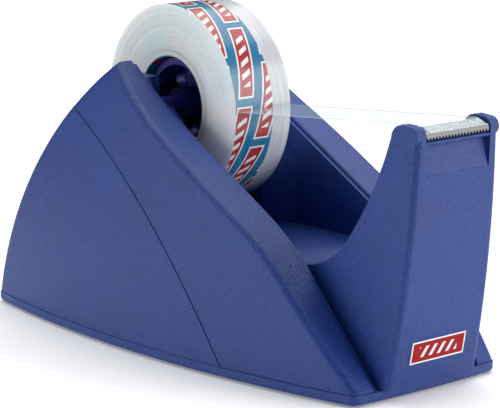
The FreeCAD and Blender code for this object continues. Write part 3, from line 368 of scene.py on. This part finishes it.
def tape_side():
    """The edges of the turns: silvery rings, a painted sheen brightest to one side, and a faint teal
    cloud.
    """
    surface = Surface("tape_side")
    radius, angle = roll_place(surface)
    rings = surface.noise(surface.vector(radius), TURN_SCALE)
    wide_rings = surface.noise(surface.vector(radius), scale=900.0, detail=1.0)
    cloud = surface.noise(surface.place, scale=70.0, detail=2.0)
    all_rings = surface.share(RING_SHARE, rings, wide_rings)
    tone = surface.ramp(all_rings, low=0.0, high=1.0, start=0.3, end=0.7)
    # Painted highlight: the side is lightened towards one angle round the roll, standing in for the
    # sheen that light makes on its rings.
    turned = surface.maths("RADIANS", surface.maths("SUBTRACT", angle, PAINTED_SHEEN_ANGLE))
    painted_sheen = surface.ramp(surface.maths("COSINE", turned), low=0.05, high=0.85, start=-0.5, end=1.0)
    tint = surface.ramp(cloud, low=0.0, high=0.6, start=0.5, end=0.75)
    colour = surface.mix(tone, SIDE_DARK, SIDE_LIGHT)
    colour = surface.mix(painted_sheen, colour, SIDE_PAINTED_SHEEN)
    surface.bump(rings, strength=0.3, depth=0.05 * MM)
    return surface.finish(
        Base_Color=surface.mix(tint, colour, SIDE_TINT),
        Roughness=surface.ramp(rings, low=0.2, high=0.4),
        IOR=FILM_IOR,
        Subsurface_Weight=0.45,
        Subsurface_Scale=8 * MM,
        Subsurface_Radius=(1, 1, 1),
    )


def tape_tread():
    """The outer turn: clear film over silvery turns, printed but for its far edge, a little worn."""
    surface = Surface("tape_tread")
    _, angle = roll_place(surface)
    y = surface.millimetres(surface.y)
    drift = surface.maths("MULTIPLY", angle, STREAK_DRIFT)
    streaks = surface.noise(surface.vector(y, drift), scale=2.6, detail=4.0)
    tone = surface.ramp(streaks, low=0.0, high=1.0, start=0.3, end=0.7)
    silver = surface.mix(tone, TREAD_DARK, TREAD_LIGHT)
    ink = surface.ramp(streaks, low=0.88, high=1.0, start=0.35, end=0.6)
    worn_print = surface.mix(ink, silver, printed_blocks(surface, angle, y))
    is_printed = surface.maths("LESS_THAN", y, PRINT_EDGE)
    surface.bump(streaks, strength=0.25, depth=0.05 * MM)
    return surface.finish(
        Base_Color=surface.mix(is_printed, silver, worn_print),
        Roughness=surface.ramp(streaks, low=0.14, high=0.30),
        IOR=FILM_IOR,
    )


def tape_strip():
    """The single layer of clear film between the roll and the blade, brighter along its edges as a
    painted glint.
    """
    surface = Surface("tape_strip")
    _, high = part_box("tape_tail")
    cloud = surface.noise(surface.place, scale=120.0, stretch=(0.3, 2, 1))
    off_middle = surface.maths("ABSOLUTE", surface.y)
    # Painted glint: the film is made more opaque along its edges, standing in for light caught by its
    # cut edges.
    is_glint_edge = surface.maths("GREATER_THAN", off_middle, high.y - STRIP_GLINT_WIDTH)
    return surface.finish(
        Base_Color=surface.mix(cloud, STRIP_DARK, STRIP_LIGHT),
        Alpha=surface.ramp(is_glint_edge, low=0.20, high=0.6),
        Roughness=0.1,
    )


def core_film():
    """The core: its ends look like the edges of the turns, and the film in its bore is printed."""
    surface = Surface("core_film")
    radius, angle = roll_place(surface)
    low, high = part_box("tape_core")
    outer = (high.x - low.x) / 2
    rings = surface.noise(surface.vector(radius), TURN_SCALE)
    past_stripe = surface.maths("MODULO", surface.maths("ADD", angle, 360.0), CORE_STRIPE_STEP)
    is_stripe = surface.maths("LESS_THAN", past_stripe, CORE_STRIPE_TURN)
    in_bore = surface.maths("LESS_THAN", radius, outer - CORE_FILM_DEPTH)
    at_rim = surface.maths("LESS_THAN", radius, outer - CORE_LINE_DEPTH)
    ends = surface.mix(at_rim, surface.mix(rings, CORE_DARK, CORE_LIGHT), CORE_LINE)
    film = surface.mix(is_stripe, PRINT_TEAL, PRINT_RED)
    return surface.finish(Base_Color=surface.mix(in_bore, ends, film), Roughness=0.35, IOR=FILM_IOR)


# ---------------------------------------------------------------- the wound tape


RINGS = 48  # rings of turns on each side of the winding
RIBS = 24  # ribs across its tread
STEPS = 192  # steps round it
RING_DEPTH = 0.12 * MM  # the most that a ring sinks into the side
RIB_DEPTH = 0.03 * MM  # the most that a rib sinks into the tread
TREAD_INSET = 0.02 * MM  # from the CAD winding in to this one
BORE_GAP = 0.05 * MM  # between the winding and its core
SHARP_EDGE = 50.0  # degrees between faces from which their edge is drawn sharp
DEPTH_SEED = 7  # fixes the uneven depths, so that each run gives the same roll


def side_points(draw, side, rings, inner, outer, half_width):
    """Radius and y along one side of the winding, where each ring sinks in by a depth of its own."""
    points = []
    for ring in rings:
        radius = inner + (outer - inner) * ring / RINGS
        depth = draw.uniform(0.0, RING_DEPTH) if ring < RINGS else 0.0
        points.append((radius, side * (half_width - depth)))
    return points


def tread_points(draw, outer, half_width):
    """Radius and y across the tread between its two edges, each rib a little sunk."""
    points = []
    for rib in range(1, RIBS):
        y = half_width * (2 * rib / RIBS - 1)
        points.append((outer - draw.uniform(0.0, RIB_DEPTH), y))
    return points


def winding_outline():
    """The axis, and the closed outline turned round it: near side out, tread, far side in."""
    low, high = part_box("tape_winding")
    axis = (low + high) / 2
    half_width = (high.y - low.y) / 2
    outer = (high.x - low.x) / 2 - TREAD_INSET
    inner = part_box("tape_core")[1].x - axis.x + BORE_GAP
    draw = random.Random(DEPTH_SEED)
    outline = side_points(draw, -1, range(RINGS + 1), inner, outer, half_width)
    outline += tread_points(draw, outer, half_width)
    outline += side_points(draw, 1, range(RINGS, -1, -1), inner, outer, half_width)
    return axis, outline


def turned_points(axis, outline):
    """The outline's points at each step round the axis."""
    points = []
    for step in range(STEPS):
        angle = 2 * math.pi * step / STEPS
        for radius, y in outline:
            x = radius * math.cos(angle)
            z = radius * math.sin(angle)
            points.append((axis.x + x, axis.y + y, axis.z + z))
    return points


def turned_faces(count):
    """Faces round a turned outline of that many points, and whether each one is on the tread."""
    faces = []
    is_tread = []
    for step in range(STEPS):
        here = step * count
        after = (step + 1) % STEPS * count
        for point in range(count):
            following = (point + 1) % count
            faces.append((here + point, here + following, after + following, after + point))
            is_tread.append(RINGS <= point < RINGS + RIBS)
    return faces, is_tread


def wound_tape():
    """The winding as a turned ring whose sides show uneven turns and whose tread is slightly ribbed."""
    axis, outline = winding_outline()
    faces, is_tread = turned_faces(len(outline))
    mesh = bpy.data.meshes.new("wound_tape")
    mesh.from_pydata(turned_points(axis, outline), [], faces)
    mesh.materials.append(tape_side())
    mesh.materials.append(tape_tread())
    mesh.polygons.foreach_set("material_index", [int(tread) for tread in is_tread])
    mesh.polygons.foreach_set("use_smooth", [True] * len(faces))
    mesh.update()
    mesh.set_sharp_from_angle(angle=math.radians(SHARP_EDGE))
    roll = bpy.data.objects.new("wound_tape", mesh)
    bpy.context.scene.collection.objects.link(roll)
    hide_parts("tape_winding")
    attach(roll, "roll")


# ---------------------------------------------------------------- finishing the CAD nodes


def dress(material, *nodes):
    """Gives each of these CAD nodes one material over its whole surface."""
    for name in nodes:
        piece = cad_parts[name]
        piece.data.materials.clear()
        piece.data.materials.append(material)


def dress_cad():
    """Every CAD node that stays gets its finish."""
    body = moulded_plastic("body_plastic", BODY_DARK, BODY_LIGHT, roughness=0.42)
    hub = moulded_plastic("hub_plastic", HUB_DARK, HUB_LIGHT, roughness=0.35)
    zinc = plain_metal("screw_zinc", ZINC, roughness=0.35, grain_scale=700.0)
    black = plain_metal("rivet_black", BLACKENED, roughness=0.45, grain_scale=700.0)
    iron = plain_metal("ballast_iron", CAST_IRON, roughness=0.6, grain_scale=350.0)
    dress(body, "base_plate", "centre_body", "left_side_shell", "right_side_shell", "rear_hood",
          "blade_holder")
    dress(hub, "hub_left_half", "hub_right_half")
    dress(blade_steel(), "cutter_blade")
    dress(zinc, "base_screws", "ballast_screws")
    dress(black, "hub_rivets")
    dress(iron, "ballast_block")
    dress(pad_rubber(), "pad_front_left", "pad_front_right", "pad_rear_left", "pad_rear_right")
    dress(label_print(), "front_label")
    dress(core_film(), "tape_core")
    dress(tape_strip(), "tape_tail")


# ---------------------------------------------------------------- camera, floor and lights


CAMERA_AZIMUTH = math.radians(49.15)  # round from -Y towards +X
CAMERA_ELEVATION = math.radians(11.88)
CAMERA_PLACE = (0.44075, -0.38066, 0.1591)
CAMERA_LENS = 159.8  # millimetres
CAMERA_SENSOR = 36.0  # millimetres
PAPER_WHITE = (0.93, 0.93, 0.94)
FLOOR_GREY = (0.22, 0.22, 0.23)
FLOOR_HALF = 3.0  # half the floor's side
PAPER_HALF = 0.22  # from the paper's middle line to where it begins to fade
PAPER_FADED = 0.50  # from that line to plain floor
SKY = (0.95, 0.97, 1.0, 1.0)
SKY_STRENGTH = 0.06
PANEL_AIM = Vector((0, 0, 0.04))  # near the middle of the object


def add_camera():
    """A long lens from the front left, a little above the table."""
    back = Vector((math.sin(CAMERA_AZIMUTH) * math.cos(CAMERA_ELEVATION),
                   -math.cos(CAMERA_AZIMUTH) * math.cos(CAMERA_ELEVATION),
                   math.sin(CAMERA_ELEVATION)))
    right = Vector((math.cos(CAMERA_AZIMUTH), math.sin(CAMERA_AZIMUTH), 0))
    up = back.cross(right)
    turn = Matrix((right, up, back)).transposed().to_4x4()
    data = bpy.data.cameras.new("camera")
    data.lens = CAMERA_LENS
    data.sensor_width = CAMERA_SENSOR
    camera = bpy.data.objects.new("camera", data)
    camera.matrix_world = Matrix.Translation(CAMERA_PLACE) @ turn
    bpy.context.scene.collection.objects.link(camera)
    bpy.context.scene.camera = camera


def floor_white():
    """White paper laid along the camera's line, which fades to a darker floor on both sides."""
    surface = Surface("floor_white")
    aside = surface.maths("ABSOLUTE", surface.maths(
        "ADD",
        surface.maths("MULTIPLY", surface.x, math.cos(CAMERA_AZIMUTH)),
        surface.maths("MULTIPLY", surface.y, math.sin(CAMERA_AZIMUTH)),
    ))
    fade = surface.ramp(aside, low=0.0, high=1.0, start=PAPER_HALF, end=PAPER_FADED)
    return surface.finish(
        Base_Color=surface.mix(fade, PAPER_WHITE, FLOOR_GREY),
        Emission_Color=surface.mix(fade, (1.0, 1.0, 1.0), (0.0, 0.0, 0.0)),
        Emission_Strength=0.15,
        Roughness=0.9,
    )


def add_floor():
    """A flat square under the object."""
    half = FLOOR_HALF
    corners = [(-half, -half, 0), (half, -half, 0), (half, half, 0), (-half, half, 0)]
    mesh = bpy.data.meshes.new("floor")
    mesh.from_pydata(corners, [], [(0, 1, 2, 3)])
    mesh.materials.append(floor_white())
    floor = bpy.data.objects.new("floor", mesh)
    bpy.context.scene.collection.objects.link(floor)


def add_panel(name, direction, distance, width, height, power):
    """A soft box that looks at the object from a direction."""
    data = bpy.data.lights.new(name, "AREA")
    data.shape = "RECTANGLE"
    data.size = width
    data.size_y = height
    data.energy = power
    panel = bpy.data.objects.new(name, data)
    away = Vector(direction).normalized()
    panel.location = PANEL_AIM + away * distance
    panel.rotation_euler = (-away).to_track_quat("-Z", "Y").to_euler()
    bpy.context.scene.collection.objects.link(panel)


def add_studio():
    """The floor, a dim even sky, one large panel overhead and a small one to each side."""
    add_floor()
    world = bpy.data.worlds.new("world")
    world.use_nodes = True
    background = world.node_tree.nodes["Background"]
    background.inputs["Color"].default_value = SKY
    background.inputs["Strength"].default_value = SKY_STRENGTH
    bpy.context.scene.world = world
    bpy.context.scene.view_settings.view_transform = "Standard"
    add_panel("top_panel", (-0.24, 0.28, 0.93), distance=2.1, width=3.0, height=3.0, power=72)
    add_panel("left_panel", (-0.42, -0.88, 0.22), distance=1.0, width=0.6, height=0.5, power=4.2)
    add_panel("right_panel", (0.76, 0.64, 0.28), distance=1.0, width=0.8, height=0.6, power=7.5)


wound_tape()
dress_cad()
add_camera()
add_studio()
